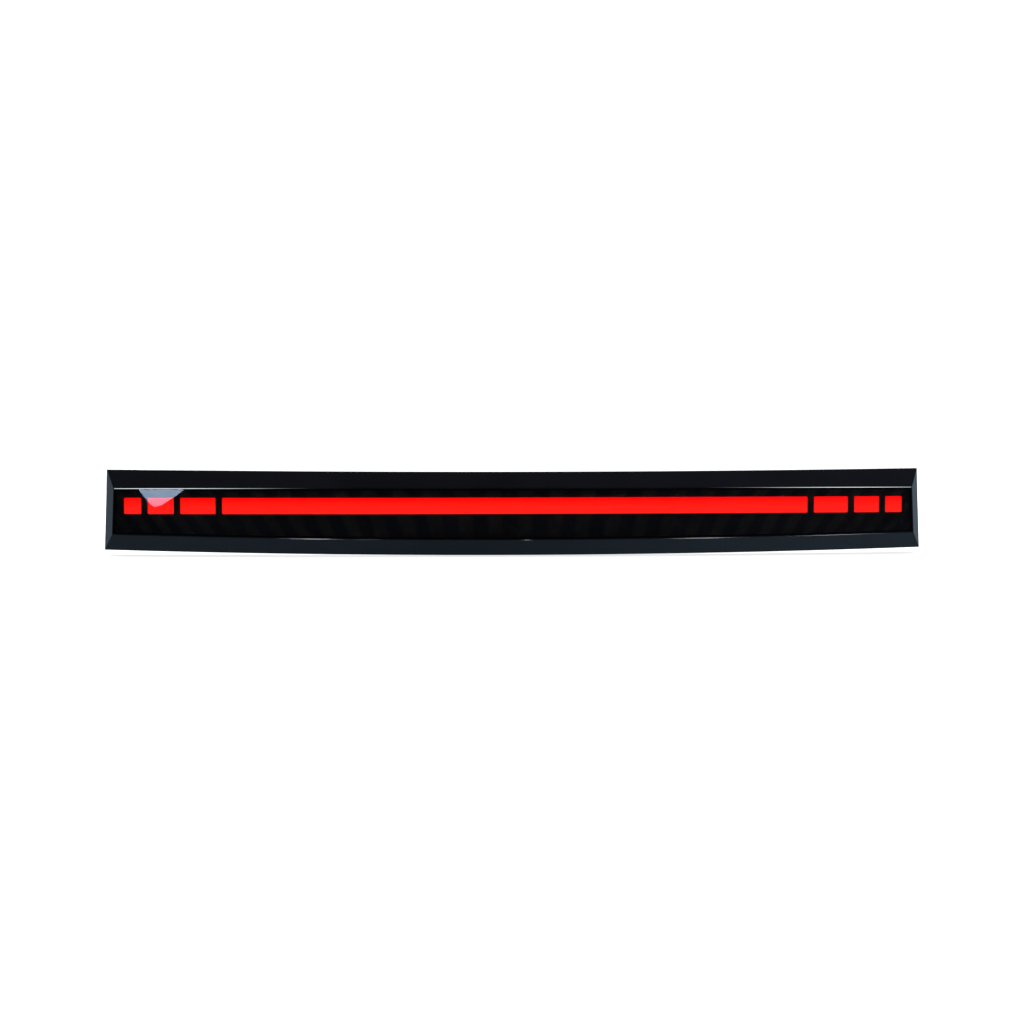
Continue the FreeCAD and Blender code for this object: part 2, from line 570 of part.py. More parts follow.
def build_clip(side, place):
    inside = "blade_thickness / 2"
    outside = f"{inside} + strip_thickness"
    nose = "blade_tip + strip_thickness"
    strip = extruded(f"Strip_{side}", [("clip_start", inside), ("clip_start", outside), (nose, outside),
                                       (nose, f"-({outside})"), ("clip_start", f"-({outside})"),
                                       ("clip_start", f"-({inside})"), ("blade_tip", f"-({inside})"),
                                       ("blade_tip", inside)], "clip_width", place)
    cheeks = [block(f"Cheek_{side}_{end}", "cheek_width", "2 * (knuckle_height + curl_radius)", "blade_tip",
                    "knuckle_along + curl_radius",
                    f"{place} + {sign} * (clip_width - cheek_width) / 2") for end, sign in enumerate(("-1", "1"))]
    pins = [cross_rod(f"Curl_{side}_{name}", "curl_radius", "clip_width", place, "knuckle_along",
                      f"{sign} * knuckle_height") for name, sign in (("upper", "1"), ("lower", "-1"))]
    part(f"{side}_clip_core", fused(f"ClipCore_{side}", [strip] + cheeks + pins))

    eye = "curl_radius + knuckle_play + knuckle_wall"
    width = "clip_width - 2 * (cheek_width + cheek_play)"
    for name, sign in (("upper", "1"), ("lower", "-1")):
        arm = [("knuckle_along", f"knuckle_height + {eye}"), ("shoulder_along", "shoulder_height"),
               ("catch_along", "catch_height"), ("catch_along + 0.45", "catch_height - 0.3"),
               ("shoulder_along + 0.2", "shoulder_height - 0.6"),
               ("knuckle_along", "knuckle_height + curl_radius + knuckle_play")]
        leaf = extruded(f"Leaf_{side}_{name}", [(y, f"{sign} * ({z})") for y, z in arm], width, place)
        knuckle = cross_rod(f"Eye_{side}_{name}", eye, width, place, "knuckle_along", f"{sign} * knuckle_height")
        bore = cross_rod(f"Bore_{side}_{name}", "curl_radius + knuckle_play", "clip_width", place, "knuckle_along",
                         f"{sign} * knuckle_height")
        part(f"{side}_clip_{name}_leaf", cut(f"ClipLeaf_{side}_{name}",
                                             fused(f"LeafSolid_{side}_{name}", [leaf, knuckle]), [bore]))


# ---- build, check and export --------------------------------------------------------------------------------

fill_sheet()
build_lens()
build_bezel()
build_tiles()
build_light_box()
build_board()
build_screws()
build_housing()
build_seals_and_studs()
build_socket()
build_breather()
for clip_side, clip_place in CLIP_PLACES.items():
    build_clip(clip_side, str(clip_place))
doc.recompute()

for item in doc.Objects:
    if {"Invalid", "Error"} & set(item.State):
        raise RuntimeError(f"{item.Name}: {item.State}")

os.makedirs("parts", exist_ok=True)
for label, item in parts.items():
    if item.Shape.isNull() or not item.Shape.isValid():
        raise RuntimeError(f"{label}: no valid shape")
    item.Shape.exportStep(f"parts/{label}.step")
    box = item.Shape.BoundBox
    print(f"{label}: {len(item.Shape.Solids)} solids, {item.Shape.Volume:.0f} mm3, "
          f"{box.XLength:.1f} x {box.YLength:.1f} x {box.ZLength:.1f}")
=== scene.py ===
"""The looks of a third brake light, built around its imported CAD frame.

A smoked lens over seven lit red tiles, on a grained black housing with foam seals, threaded studs, spring
clips, a plug socket and a breather behind."""

import math

import bpy
from mathutils import Matrix, Vector


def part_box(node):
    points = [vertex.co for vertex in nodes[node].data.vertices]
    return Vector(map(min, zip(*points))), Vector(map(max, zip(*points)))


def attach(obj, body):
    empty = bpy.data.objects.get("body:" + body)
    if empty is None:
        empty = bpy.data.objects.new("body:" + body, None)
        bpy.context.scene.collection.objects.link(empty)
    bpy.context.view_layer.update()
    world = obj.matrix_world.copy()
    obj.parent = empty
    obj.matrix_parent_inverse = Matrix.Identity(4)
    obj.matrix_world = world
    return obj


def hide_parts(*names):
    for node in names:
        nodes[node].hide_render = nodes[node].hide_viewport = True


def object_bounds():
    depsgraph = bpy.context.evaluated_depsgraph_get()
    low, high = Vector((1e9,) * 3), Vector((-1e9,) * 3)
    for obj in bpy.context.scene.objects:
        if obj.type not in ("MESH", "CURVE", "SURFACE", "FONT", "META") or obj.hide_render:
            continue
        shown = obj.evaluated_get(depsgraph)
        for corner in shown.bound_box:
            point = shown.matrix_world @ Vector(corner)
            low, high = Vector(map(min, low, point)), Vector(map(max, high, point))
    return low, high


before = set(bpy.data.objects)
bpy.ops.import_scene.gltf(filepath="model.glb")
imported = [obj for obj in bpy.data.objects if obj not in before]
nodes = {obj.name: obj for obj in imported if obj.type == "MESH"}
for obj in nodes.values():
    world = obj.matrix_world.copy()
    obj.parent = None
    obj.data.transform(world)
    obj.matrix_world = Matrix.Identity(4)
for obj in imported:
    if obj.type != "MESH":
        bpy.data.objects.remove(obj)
cad_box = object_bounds()
MM = 0.001

# The lens's curve and outlines, in millimetres. A depth lies behind its front, along the curve's radius. An
# outline's top and bottom each give the height at the ends, then at the middle.
CURVE_RADIUS = 1600
FRONT_Y = cad_box[0].y / MM
FACE = {"half_top": 203.1, "half_bottom": 204.1, "top": (11.1, 11.1), "bottom": (-12.3, -14.85)}
RIM = {"half_top": 209, "half_bottom": 210.6, "top": (20.6, 19.1), "bottom": (-20.6, -23.1)}
BEVEL_DEPTH, SKIRT_END, LENS_WALL = 10, 13.8, 2.4
# the reach of an edge's rounding, and of the flat strip that keeps the facet beside it flat
EDGE_ROUND, EDGE_GUARD = 0.4, 0.15

# where the outlines' points stand, from the left end to the right: evenly, and close beside each end
LENS_SHARES = (-1, -0.998, *(step / 60 - 1 for step in range(1, 120)), 0.998, 1)

# the lamp's other sizes in millimetres: FLANGE_REACH is how far a tile's edges lie hidden behind the bezel
LED_PITCH, FLANGE_REACH = 16.4, 1.2
STUD_RADIUS, STUD_HEAD_RADIUS, SHOULDER_RADIUS = 2.5, 4.5, 3.3
THREAD_START, THREAD_PITCH, THREAD_DEPTH = -0.9, 0.8, 0.42
CAP_RING_PITCH = 1.7

# The bezel's flutes fan out from a point this many millimetres below the middle. They are shallow relief, and
# their pale stripes in the colour are a painted reflection of striped light in the face. Their spread is X
# over the height above that point, their wave turns this many radians for each unit of it, and they crowd by
# this share of its square.
FLUTE_CENTRE_BELOW, FLUTE_RATE, FLUTE_CROWDING = 240, 98, 0.25


# ---- materials --------------------------------------------------------------------------------------------

def grade(ramp, stops):
    """Gives a colour ramp node these stops, each a position and a colour of three."""
    elements = ramp.color_ramp.elements
    while len(elements) < len(stops):
        elements.new(0.5)
    for element, (position, colour) in zip(elements, stops):
        element.position, element.color = position, (*colour, 1)


class Finish:
    """A material in the making: a Principled shader and the nodes that feed it, in the frame's metres."""

    def __init__(self, name, colour, roughness, metallic=0.0, **constants):
        self.material = bpy.data.materials.new(name)
        self.material.use_nodes = True
        self.tree = self.material.node_tree
        self.shader = self.tree.nodes["Principled BSDF"]
        self.place = self.add("ShaderNodeTexCoord").outputs["Object"]
        self.shader.inputs["Base Color"].default_value = (*colour, 1)
        self.shader.inputs["Roughness"].default_value = roughness
        self.shader.inputs["Metallic"].default_value = metallic
        for socket, value in constants.items():
            self.shader.inputs[socket.replace("_", " ")].default_value = value

    def add(self, kind, **settings):
        node = self.tree.nodes.new(kind)
        for name, value in settings.items():
            setattr(node, name, value)
        return node

    def link(self, source, target):
        self.tree.links.new(source, target)

    def feed(self, source, socket):
        self.link(source, self.shader.inputs[socket])

    def stretched(self, x, y, z):
        """Coordinates scaled by x, y and z, so that a texture runs along one axis."""
        node = self.add("ShaderNodeMapping")
        node.inputs["Scale"].default_value = (x, y, z)
        self.link(self.place, node.inputs["Vector"])
        return node.outputs["Vector"]

    def noise(self, scale, detail, place=None):
        node = self.add("ShaderNodeTexNoise")
        node.inputs["Scale"].default_value = scale
        node.inputs["Detail"].default_value = detail
        self.link(place or self.place, node.inputs["Vector"])
        return node.outputs["Fac"]

    def cells(self, scale):
        node = self.add("ShaderNodeTexVoronoi", feature="F1")
        node.inputs["Scale"].default_value = scale
        self.link(self.place, node.inputs["Vector"])
        return node.outputs["Distance"]

    def ramp(self, source, low, high, start=0.35, end=0.65):
        """The source mapped from start..end to low..high: numbers, or colours of three."""
        if isinstance(low, (int, float)):
            node = self.add("ShaderNodeMapRange")
            for socket, value in (("From Min", start), ("From Max", end), ("To Min", low), ("To Max", high)):
                node.inputs[socket].default_value = value
            self.link(source, node.inputs["Value"])
            return node.outputs["Result"]
        node = self.add("ShaderNodeValToRGB")
        grade(node, ((start, low), (end, high)))
        self.link(source, node.inputs["Fac"])
        return node.outputs["Color"]

    def maths(self, operation, *values):
        node = self.add("ShaderNodeMath", operation=operation)
        for socket, value in zip(node.inputs, values):
            if isinstance(value, (int, float)):
                socket.default_value = value
            else:
                self.link(value, socket)
        return node.outputs["Value"]

    def along(self, axis):
        node = self.add("ShaderNodeSeparateXYZ")
        self.link(self.place, node.inputs["Vector"])
        return node.outputs[axis]

    def bump(self, height, depth_mm):
        """Height in 0..1 as relief of this depth. Later calls lie on top of earlier ones."""
        node = self.add("ShaderNodeBump")
        node.inputs["Strength"].default_value = 1.0
        node.inputs["Distance"].default_value = depth_mm * MM
        self.link(height, node.inputs["Height"])
        if self.shader.inputs["Normal"].is_linked:
            self.link(self.shader.inputs["Normal"].links[0].from_socket, node.inputs["Normal"])
        self.feed(node.outputs["Normal"], "Normal")


def smoked_lens():
    """The clear part of the lens: smoked acrylic, polished."""
    finish = Finish("smoked_lens", (0.5, 0.51, 0.54), 0.01, IOR=1.5, Transmission_Weight=1.0)
    finish.feed(finish.ramp(finish.noise(18, 5), 0.004, 0.016), "Roughness")
    finish.feed(finish.ramp(finish.noise(6, 2), (0.48, 0.49, 0.52), (0.52, 0.53, 0.56)), "Base Color")
    return finish.material


def piano_black():
    """The lens's opaque black surround: polished, with the faint waviness and fine dust of moulded gloss."""
    finish = Finish("piano_black", (0.0015, 0.0015, 0.002), 0.03, IOR=1.5)
    finish.feed(finish.ramp(finish.noise(40, 4), (0.001, 0.001, 0.0014), (0.002, 0.002, 0.0027)),
                "Base Color")
    finish.feed(finish.ramp(finish.noise(900, 2), 0.012, 0.06, 0.45, 0.8), "Roughness")
    finish.bump(finish.noise(45, 2), 0.002)
    return finish.material


def lit_red_tile():
    """A frosted tile lit from behind: deep red at its top, more orange lower down, brighter at each LED."""
    finish = Finish("red_tile", (0.6, 0.01, 0.005), 0.35, Specular_IOR_Level=0.2)
    low, high = (corner.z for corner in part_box("diffuser_centre"))
    reach = FLANGE_REACH * MM
    hues = finish.add("ShaderNodeValToRGB")
    grade(hues, ((0.0, (1, 0.0135, 0.0075)), (0.5, (1, 0.011, 0.0055)), (0.75, (1, 0.005, 0.0012)),
                 (1.0, (1, 0, 0))))
    finish.link(finish.ramp(finish.along("Z"), 0.0, 1.0, low + reach, high - reach), hues.inputs["Fac"])
    finish.feed(hues.outputs["Color"], "Emission Color")
    wave = finish.maths("COSINE", finish.maths("MULTIPLY", finish.along("X"), math.tau / (LED_PITCH * MM)))
    glow = finish.maths("MULTIPLY_ADD", wave, 0.05, 2.15)
    grain = finish.ramp(finish.noise(900, 2), 0.97, 1.03)
    finish.feed(finish.maths("MULTIPLY", glow, grain), "Emission Strength")
    finish.feed(finish.ramp(finish.noise(400, 3), 0.3, 0.45), "Roughness")
    finish.bump(finish.noise(1500, 2), 0.02)
    return finish.material


def moulded(name, dark, light, grain_mm, relief_mm, roughness):
    """Moulded plastic: fine spark-eroded grain, slow changes of tone and gloss."""
    finish = Finish(name, dark, roughness)
    finish.feed(finish.ramp(finish.noise(30, 4), dark, light), "Base Color")
    finish.feed(finish.ramp(finish.noise(12, 5), roughness - 0.06, roughness + 0.08), "Roughness")
    finish.bump(finish.noise(1 / (grain_mm * MM), 3), relief_mm)
    return finish.material


def fluted_bezel_painted_reflection():
    """Matt black, with faint flutes of shallow relief that fan out from a point below the middle, narrower
    towards the ends. Their pale stripes in the colour are a painted reflection of striped light in the face.
    """
    finish = Finish("bezel_black", (0.0015, 0.0015, 0.002), 0.7)
    above = finish.maths("ADD", finish.along("Z"), FLUTE_CENTRE_BELOW * MM)
    spread = finish.maths("DIVIDE", finish.along("X"), above)
    closer = finish.maths("MULTIPLY_ADD", finish.maths("MULTIPLY", spread, spread), FLUTE_CROWDING, 1.0)
    turns = finish.maths("MULTIPLY", finish.maths("MULTIPLY", spread, closer), FLUTE_RATE)
    flute_relief_and_painted_reflection = finish.ramp(finish.maths("SINE", turns), 0.0, 1.0, -0.4, 0.5)
    # painted reflection: the pale stripes in the base colour stand in for striped light mirrored in the face
    finish.feed(finish.ramp(flute_relief_and_painted_reflection, (0.0015, 0.0015, 0.003), (0.032, 0.028, 0.014), 0.0, 1.0), "Base Color")
    finish.feed(finish.ramp(finish.noise(30, 2), 0.66, 0.76), "Roughness")
    finish.bump(flute_relief_and_painted_reflection, 0.02)
    return finish.material


def vent_cap():
    """Satin grey plastic, with shallow rings moulded round the middle of the cap."""
    finish = Finish("breather_grey", (0.035, 0.035, 0.038), 0.4)
    finish.feed(finish.ramp(finish.noise(60, 4), (0.03, 0.03, 0.033), (0.045, 0.045, 0.048)), "Base Color")
    finish.feed(finish.ramp(finish.noise(20, 3), 0.36, 0.46), "Roughness")
    middle = sum(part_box("breather_cap"), Vector()) / 2
    squares = []
    for axis, centre in (("X", middle.x), ("Z", middle.z)):
        offset = finish.maths("SUBTRACT", finish.along(axis), centre)
        squares.append(finish.maths("MULTIPLY", offset, offset))
    radius = finish.maths("SQRT", finish.maths("ADD", *squares))
    rings = finish.maths("SINE", finish.maths("MULTIPLY", radius, math.tau / (CAP_RING_PITCH * MM)))
    finish.bump(finish.ramp(rings, 0, 1), 0.15)
    return finish.material


def foam(name, tone):
    """Closed-cell foam: round cells of two sizes, matt."""
    finish = Finish(name, tone, 0.9, Sheen_Weight=0.15, Specular_IOR_Level=0.3)
    pale = tuple(1.9 * channel for channel in tone)
    finish.feed(finish.ramp(finish.cells(1500), tone, pale, 0.1, 0.6), "Base Color")
    finish.bump(finish.cells(1500), 0.12)
    finish.bump(finish.noise(260, 3), 0.1)
    return finish.material


def rubber(name, dark, light):
    """Soft sealing material: uneven gloss and a fine skin."""
    finish = Finish(name, dark, 0.55)
    finish.feed(finish.ramp(finish.noise(60, 4), dark, light), "Base Color")
    finish.feed(finish.ramp(finish.noise(200, 2), 0.45, 0.65), "Roughness")
    finish.bump(finish.noise(700, 3), 0.02)
    return finish.material


def metal(name, dark, light, roughness, brushed=None):
    """Plated or rolled metal: a cloudy tone, and fine lines along one axis if brushed gives it."""
    finish = Finish(name, dark, roughness, metallic=1.0)
    finish.feed(finish.ramp(finish.noise(140, 5), dark, light), "Base Color")
    lines = finish.noise(250, 4, finish.stretched(*brushed)) if brushed else finish.noise(900, 4)
    finish.feed(finish.ramp(lines, roughness - 0.08, roughness + 0.14), "Roughness")
    finish.bump(lines, 0.006)
    return finish.material


def circuit_board():
    """White solder mask with tracks that show faintly under it."""
    finish = Finish("lamp_board", (0.8, 0.81, 0.77), 0.35, Coat_Weight=0.3)
    tracks = finish.add("ShaderNodeTexBrick", offset=0.37)
    tracks.inputs["Scale"].default_value = 120
    tracks.inputs["Mortar Size"].default_value = 0.06
    for socket, colour in (("Color1", (0.82, 0.83, 0.79)), ("Color2", (0.78, 0.8, 0.75)),
                           ("Mortar", (0.6, 0.63, 0.56))):
        tracks.inputs[socket].default_value = (*colour, 1)
    swap = finish.add("ShaderNodeMapping")
    swap.inputs["Rotation"].default_value = (math.pi / 2, 0, 0)
    finish.link(finish.place, swap.inputs["Vector"])
    finish.link(swap.outputs["Vector"], tracks.inputs["Vector"])
    finish.feed(tracks.outputs["Color"], "Base Color")
    finish.bump(tracks.outputs["Fac"], 0.02)
    finish.feed(finish.ramp(finish.noise(80, 3), 0.3, 0.42), "Roughness")
    return finish.material


RED_TILES = [name for name in nodes if name.startswith("diffuser_")]
CLIP_LEAVES = [name for name in nodes if name.endswith("_leaf")]
CLIP_CORES = [name for name in nodes if name.endswith("_clip_core")]


def dress_nodes():
    """Gives every CAD node its material, and returns the materials by node."""
    zinc = metal("zinc_plate", (0.56, 0.57, 0.55), (0.7, 0.71, 0.66), 0.3)
    spring = metal("spring_steel", (0.5, 0.51, 0.52), (0.62, 0.63, 0.63), 0.26, brushed=(0.15, 4, 4))
    chip = moulded("chip_black", (0.015, 0.015, 0.016), (0.03, 0.03, 0.03), 0.2, 0.01, 0.45)
    black_foam = foam("seal_foam", (0.022, 0.022, 0.024))
    tile = lit_red_tile()
    finishes = {
        "lens": smoked_lens(),
        "lens_sealant": rubber("sealant", (0.012, 0.012, 0.013), (0.025, 0.025, 0.026)),
        "bezel": fluted_bezel_painted_reflection(),
        "light_box": moulded("light_box_white", (0.78, 0.78, 0.75), (0.86, 0.86, 0.84), 0.3, 0.01, 0.4),
        "lamp_board": circuit_board(),
        "leds": moulded("led_package", (0.8, 0.72, 0.35), (0.88, 0.85, 0.7), 0.6, 0.01, 0.25),
        "resistors": chip, "driver_chips": chip, "protection_diode": chip,
        "capacitors": moulded("capacitor", (0.33, 0.22, 0.13), (0.42, 0.3, 0.19), 0.3, 0.01, 0.35),
        "light_box_screws": zinc, "socket_screws": zinc, "mounting_studs": zinc,
        "housing": moulded("housing_black", (0.014, 0.014, 0.015), (0.024, 0.024, 0.026), 0.35, 0.035, 0.44),
        "body_gasket": black_foam, "stud_seals": black_foam,
        "connector_socket": moulded("socket_black", (0.022, 0.022, 0.024), (0.036, 0.036, 0.038), 0.25, 0.01,
                                    0.36),
        "connector_seal": rubber("seal_orange", (0.45, 0.1, 0.02), (0.56, 0.15, 0.035)),
        "terminal_pins": metal("tinned_brass", (0.66, 0.62, 0.5), (0.76, 0.73, 0.62), 0.25,
                               brushed=(4, 0.15, 4)),
        "breather_cap": vent_cap(),
        "breather_membrane": foam("membrane_white", (0.4, 0.4, 0.4)),
        **{name: tile for name in RED_TILES},
        **{name: spring for name in CLIP_LEAVES + CLIP_CORES},
    }
    for name, node in nodes.items():
        node.data.materials.clear()
        node.data.materials.append(finishes[name])
    return finishes


def soften(name, width_mm, segments=2):
    """Gives a CAD node's sharp edges a small round: weld, bevel, even normals."""
    node = nodes[name]
    for polygon in node.data.polygons:
        polygon.use_smooth = True
    weld = node.modifiers.new("Weld", "WELD")
    weld.merge_threshold = 0.002 * MM
    bevel = node.modifiers.new("Round edges", "BEVEL")
    bevel.width, bevel.segments, bevel.limit_method = width_mm * MM, segments, "ANGLE"
    bevel.angle_limit = math.radians(35)
    bevel.use_clamp_overlap = True
    even = node.modifiers.new("Even normals", "WEIGHTED_NORMAL")
    even.keep_sharp, even.weight = False, 50


# ---- pieces with more detail than their CAD nodes ---------------------------------------------------------

def new_piece(name, vertices, faces, material, body, *stands_for):
    """A smooth piece on this body, from points in millimetres, in place of CAD nodes."""
    mesh = bpy.data.meshes.new(name)
    mesh.from_pydata([Vector(point) * MM for point in vertices], [], faces)
    mesh.validate()
    for polygon in mesh.polygons:
        polygon.use_smooth = True
    piece = bpy.data.objects.new(name, mesh)
    bpy.context.scene.collection.objects.link(piece)
    mesh.materials.append(material)
    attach(piece, body)
    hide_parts(*stands_for)
    return piece


def on_curve(x, depth):
    """Y of the point at this X and depth."""
    return FRONT_Y + CURVE_RADIUS - math.sqrt((CURVE_RADIUS - depth) ** 2 - x * x)


def lens_outline(form, depth, inset):
    """The outline's top row of points, then its bottom row, each from left to right."""
    rows = []
    for half, (end, middle), sign in ((form["half_top"], form["top"], -1),
                                      (form["half_bottom"], form["bottom"], 1)):
        reach = half - inset
        for share in LENS_SHARES:
            x = share * reach
            rows.append((x, on_curve(x, depth), middle + (end - middle) * share * share + sign * inset))
    return rows


def between(first, second, share):
    """The outline this share of the way from the first to the second."""
    return [tuple(Vector(start).lerp(Vector(end), share)) for start, end in zip(first, second)]


def rounded_edge(before, corner, after, steps=6):
    """Outlines that turn smoothly from the one before a corner to the one after it."""
    turn = []
    for step in range(steps + 1):
        share = step / steps
        outline = []
        for start, peak, end in zip(map(Vector, before), map(Vector, corner), map(Vector, after)):
            outline.append(tuple(peak + (1 - share) ** 2 * (start - peak) + share ** 2 * (end - peak)))
        turn.append(outline)
    return turn


def build_lens(clear, surround):
    """The lens as a closed shell: a clear face, and black bevels and skirt, each as thick as the wall."""
    columns, wall = len(LENS_SHARES) - 1, LENS_WALL
    face, rim, end = (lens_outline(*place, 0) for place in ((FACE, 0), (RIM, BEVEL_DEPTH), (RIM, SKIRT_END)))
    bevel_share = EDGE_ROUND / math.hypot(BEVEL_DEPTH, RIM["top"][0] - FACE["top"][0])
    skirt_share = EDGE_ROUND / (SKIRT_END - BEVEL_DEPTH)
    guard_share = bevel_share * (1 + EDGE_GUARD / EDGE_ROUND)
    outer = [lens_outline(FACE, 0, EDGE_ROUND + EDGE_GUARD)]
    outer += rounded_edge(lens_outline(FACE, 0, EDGE_ROUND), face, between(face, rim, bevel_share))
    outer += [between(face, rim, guard_share), between(face, rim, 1 - guard_share)]
    outer += rounded_edge(between(face, rim, 1 - bevel_share), rim, between(rim, end, skirt_share))
    outer += [between(rim, end, 1.3 * skirt_share), end]
    # the inside runs a wall's thickness within the outside, and these shares of it place its two corners
    inner = [lens_outline(RIM, SKIRT_END, wall), lens_outline(RIM, BEVEL_DEPTH + 0.4 * wall, wall),
             lens_outline(FACE, wall, 0.45 * wall)]
    rings = outer + inner
    vertices = [point for ring in rings for point in ring]
    size = 2 * (columns + 1)

    def top(ring, column):
        return ring * size + column

    def bottom(ring, column):
        return ring * size + columns + 1 + column

    faces = []
    for column in range(columns):
        for ring, front in ((0, True), (len(rings) - 1, False)):
            cap = (top(ring, column), top(ring, column + 1), bottom(ring, column + 1), bottom(ring, column))
            faces.append(cap[::-1] if front else cap)
    clear_faces = len(faces)
    for near, far in zip(range(len(rings) - 1), range(1, len(rings))):
        for column in range(columns):
            faces.append((top(near, column), top(near, column + 1), top(far, column + 1), top(far, column)))
            faces.append((bottom(near, column + 1), bottom(near, column), bottom(far, column),
                          bottom(far, column + 1)))
        faces.append((bottom(near, 0), top(near, 0), top(far, 0), bottom(far, 0)))
        faces.append((top(near, columns), bottom(near, columns), bottom(far, columns), top(far, columns)))
    lens = new_piece("smoked_lens", vertices, faces, clear, "lamp", "lens")
    lens.data.materials.append(surround)
    for polygon in lens.data.polygons[clear_faces:]:
        polygon.material_index = 1
    lens.data.set_sharp_from_angle(angle=math.radians(30))


def threaded_stud(side, material):
    """One stud, turned from its CAD box: head, plain shoulder, rolled thread and a chamfered point."""
    low, high = (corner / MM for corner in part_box("mounting_studs"))
    x = high.x - STUD_HEAD_RADIUS if side == "right" else low.x + STUD_HEAD_RADIUS
    around, tip, steps_per_pitch = 48, high.y, 8
    core, threaded = STUD_RADIUS - THREAD_DEPTH, tip - THREAD_START
    profile = [(low.y, 0), (low.y, 4.0), (low.y + 0.4, STUD_HEAD_RADIUS), (-9.9, STUD_HEAD_RADIUS),
               (-9.5, 4.3), (-9.5, SHOULDER_RADIUS), (-1.3, SHOULDER_RADIUS), (-1, 3.0), (-1, 2.15)]
    steps = round(threaded / THREAD_PITCH * steps_per_pitch)
    rows = [(y, radius, False) for y, radius in profile]
    rows += [(THREAD_START + threaded * step / steps, STUD_RADIUS, True) for step in range(steps + 1)]
    rows.append((tip, 0, False))
    vertices, faces = [], []
    for y, radius, is_thread in rows:
        for turn in range(around):
            angle = math.tau * turn / around
            reach = radius
            if is_thread:
                phase = (y / THREAD_PITCH - turn / around) % 1
                ridge = min(1, max(0, 1.35 - 3.2 * abs(phase - 0.5)))
                fading = min(1, (tip - y) / 1.2, y - THREAD_START + 0.15)
                point = 1.8 + (tip - y)
                reach = min(core + THREAD_DEPTH * ridge * max(0, fading), point)
            vertices.append((x + reach * math.cos(angle), y, reach * math.sin(angle)))
    for row in range(len(rows) - 1):
        for turn in range(around):
            here, there = row * around + turn, row * around + (turn + 1) % around
            faces.append((here, there, there + around, here + around))
    stud = new_piece(f"threaded_stud_{side}", vertices, faces, material, "lamp", "mounting_studs")


# ---- the studio -------------------------------------------------------------------------------------------

def oblong(half_width, half_height):
    return [(-half_width, -half_height), (half_width, -half_height), (half_width, half_height),
            (-half_width, half_height)]


def card(name, centre, outline, colour, strength, fade):
    """A glowing card square to the Y axis, which only gloss sees.

    Its fade is an axis, how far from the middle the fading starts and ends on it, and the share left."""
    mesh = bpy.data.meshes.new(name)
    mesh.from_pydata([(x, 0, z) for x, z in outline], [], [tuple(range(len(outline)))])
    panel = bpy.data.objects.new(name, mesh)
    bpy.context.scene.collection.objects.link(panel)
    panel.location = centre
    finish = Finish(name, (0, 0, 0), 1.0, Specular_IOR_Level=0.0)
    finish.shader.inputs["Emission Color"].default_value = (*colour, 1)
    axis, start, end, left = fade
    reach = finish.maths("ABSOLUTE", finish.along(axis))
    finish.feed(finish.ramp(reach, strength, left * strength, start, end), "Emission Strength")
    mesh.materials.append(finish.material)
    panel.visible_camera = panel.visible_diffuse = panel.visible_transmission = panel.visible_shadow = False


def build_world():
    """White behind the lamp for the camera. Light and reflections see a dim bluish room, darkest ahead."""
    world = bpy.data.worlds.new("studio")
    bpy.context.scene.world = world
    world.use_nodes = True
    tree = world.node_tree
    tree.nodes.clear()

    def node(kind, settings=None, **inputs):
        made = tree.nodes.new(kind)
        for name, value in (settings or {}).items():
            setattr(made, name, value)
        for name, value in inputs.items():
            socket = made.inputs[name.replace("_", " ")]
            if isinstance(value, bpy.types.NodeSocket):
                tree.links.new(value, socket)
            else:
                socket.default_value = value
        return made

    direction = node("ShaderNodeTexCoord").outputs["Generated"]
    split = node("ShaderNodeSeparateXYZ", Vector=direction)
    height = node("ShaderNodeMapRange", Value=split.outputs["Z"], From_Min=-1, From_Max=1)
    tones = node("ShaderNodeValToRGB", Fac=height.outputs["Result"])
    grade(tones, ((0.0, (0.115, 0.175, 0.235)), (0.38, (0.15, 0.2, 0.25)), (0.5, (0.15, 0.195, 0.235)),
                  (1.0, (0.065, 0.068, 0.095))))
    ahead = node("ShaderNodeMapRange", {"interpolation_type": "SMOOTHSTEP"}, Value=split.outputs["Y"],
                 From_Min=-0.5, From_Max=-0.9)
    room = node("ShaderNodeMix", {"data_type": "RGBA"}, Factor=ahead.outputs["Result"],
                A=tones.outputs["Color"], B=(0.02, 0.022, 0.03, 1))
    # the room is brighter to the right, and a little brighter to the left, than ahead
    across = node("ShaderNodeMapRange", Value=split.outputs["X"], From_Min=-1, From_Max=1)
    sides = node("ShaderNodeValToRGB", Fac=across.outputs["Result"])
    greys = ((0.05, 0.84), (0.35, 0.74), (0.5, 0.64), (0.66, 0.95), (0.95, 1.0))
    grade(sides, [(position, (grey, grey, grey)) for position, grey in greys])
    glow = node("ShaderNodeMapRange", Value=sides.outputs["Color"], To_Max=1.36)
    lit = node("ShaderNodeBackground", Color=room.outputs["Result"], Strength=glow.outputs["Result"])
    seen = node("ShaderNodeBackground", Color=(1, 1, 1, 1), Strength=1.05)
    ray = node("ShaderNodeLightPath")
    mix = node("ShaderNodeMixShader", Fac=ray.outputs["Is Camera Ray"])
    tree.links.new(lit.outputs[0], mix.inputs[1])
    tree.links.new(seen.outputs[0], mix.inputs[2])
    node("ShaderNodeOutputWorld", Surface=mix.outputs[0])


def build_floor():
    """A pale floor just under the lamp, which glows a little so that shadows on it stay soft and light."""
    tone, glow, reach, gap = 0.4, 0.75, 40, 0.4 * MM
    mesh = bpy.data.meshes.new("floor")
    mesh.from_pydata([(x, y, cad_box[0].z - gap) for x, y in oblong(reach, reach)], [], [(0, 1, 2, 3)])
    floor = bpy.data.objects.new("floor", mesh)
    bpy.context.scene.collection.objects.link(floor)
    finish = Finish("floor", (tone,) * 3, 0.8, Specular_IOR_Level=0.0)
    finish.feed(finish.ramp(finish.noise(3, 2), (tone - 0.01,) * 3, (tone + 0.01,) * 3), "Base Color")
    finish.shader.inputs["Emission Color"].default_value = (1, 1, 1, 1)
    finish.shader.inputs["Emission Strength"].default_value = glow
    mesh.materials.append(finish.material)
    floor.visible_glossy = floor.visible_transmission = False


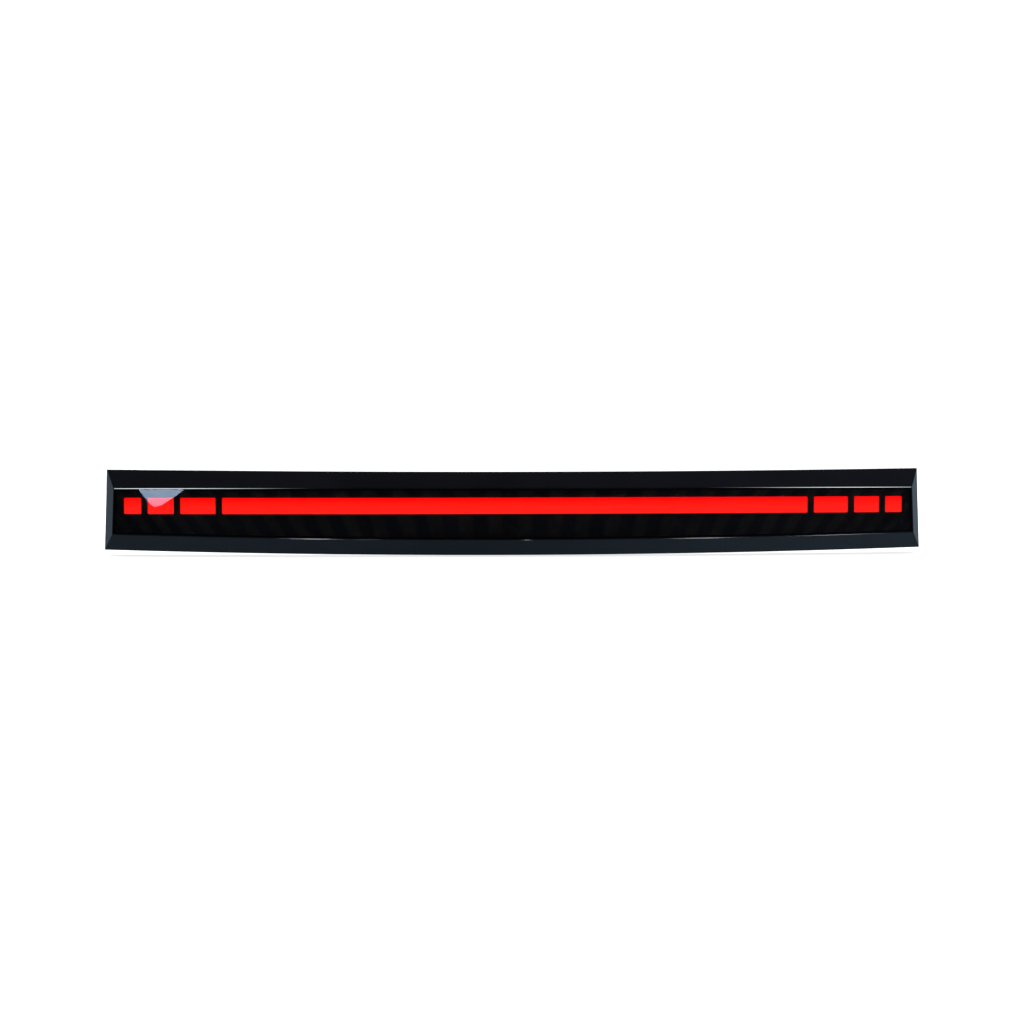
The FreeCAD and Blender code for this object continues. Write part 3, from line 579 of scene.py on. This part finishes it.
def lamp(name, kind, place, energy, size=None, glossy=True):
    """A light that points at the origin."""
    data = bpy.data.lights.new(name, kind)
    data.energy = energy
    if size:
        data.shape, data.size, data.size_y = "RECTANGLE", *size
    light = bpy.data.objects.new(name, data)
    bpy.context.scene.collection.objects.link(light)
    light.location = place
    light.rotation_euler = (-Vector(place)).to_track_quat("-Z", "Y").to_euler()
    light.visible_glossy, light.visible_transmission = glossy, False
    return light


def build_lights():
    sky = lamp("sky", "SUN", (0, 0, 2), 3.6, glossy=False)
    sky.data.angle = math.radians(110)
    lamp("back_left", "AREA", (-0.8, 1.0, 0.9), 22, (0.7, 0.4))
    lamp("back_right", "AREA", (0.9, 0.9, 0.7), 12, (0.5, 0.5))
    # the two softboxes that light the face's top edge
    for side, x, half_width in (("left", -0.66, 0.27), ("right", 0.712, 0.235)):
        card(f"softbox_{side}", (x, -0.9, 0.72), oblong(half_width, 0.48), (0.9, 0.97, 1), 32,
             fade=("X", 0, half_width, 0))
    # small lights low in front, for the glints along its bottom edge: place, half the width, strength
    glints = ((-0.256, 0.035, 110), (-0.178, 0.012, 22), (0.041, 0.005, 90), (0.289, 0.045, 90),
              (0.489, 0.06, 56))
    for number, (x, half_width, strength) in enumerate(glints):
        card(f"glint_{number}", (x, -0.3, -0.72), oblong(half_width, 0.12), (1, 0.97, 0.97), strength,
             fade=("X", 0, half_width, 0))
    build_window()


def build_window():
    """The pale window that the left end of the face mirrors: it tapers downwards to a rounded tip."""
    left, right, top, depth, roundness, steps = -0.0257, 0.045, 0.012, 0.0165, 0.25, 24

    def drop(share):
        """How far down the edge is, from 1 at the tip to 0 at either end."""
        return 1 - (math.hypot(share, roundness) - roundness) / (math.hypot(1, roundness) - roundness)

    edge = [(left + (right - left) * step / steps) for step in range(steps + 1)]
    outline = [(x, -depth * drop(x / (left if x < 0 else right))) for x in edge]
    outline += [(right + 0.002, top), (left - 0.002, top)]
    card("window", (-0.5, -0.7, -0.006), outline, (0.533, 0.717, 1), 11, fade=("Z", 0.003, depth, 0.65))


def build_camera():
    """Almost level with the lamp, a little left of its middle, and looking at its front."""
    target, distance = Vector((-2.78, -40, -0.87)) * MM, 0.7
    azimuth, elevation, roll = (math.radians(degrees) for degrees in (-1.935, 2.17, -0.077))
    back = Vector((math.sin(azimuth) * math.cos(elevation), -math.cos(azimuth) * math.cos(elevation),
                   math.sin(elevation)))
    data = bpy.data.cameras.new("camera")
    data.lens, data.sensor_width, data.clip_start = 49.29, 36, 0.01
    camera = bpy.data.objects.new("camera", data)
    bpy.context.scene.collection.objects.link(camera)
    turn = (-back).to_track_quat("-Z", "Y").to_matrix().to_4x4() @ Matrix.Rotation(roll, 4, "Z")
    camera.matrix_world = Matrix.Translation(target + back * distance) @ turn
    bpy.context.scene.camera = camera


# ---- put together -----------------------------------------------------------------------------------------

finishes = dress_nodes()
for cad_node, round_mm in (("housing", 0.25), ("connector_socket", 0.2), ("breather_cap", 0.2),
                           ("body_gasket", 0.4), ("stud_seals", 0.3), ("socket_screws", 0.12),
                           ("terminal_pins", 0.12)):
    soften(cad_node, round_mm)
for cad_node in CLIP_LEAVES + CLIP_CORES:
    soften(cad_node, 0.08, segments=1)
build_lens(finishes["lens"], piano_black())
for stud_side in ("left", "right"):
    threaded_stud(stud_side, finishes["mounting_studs"])
build_world()
build_floor()
build_lights()
build_camera()
bpy.context.scene.view_settings.view_transform = "Standard"
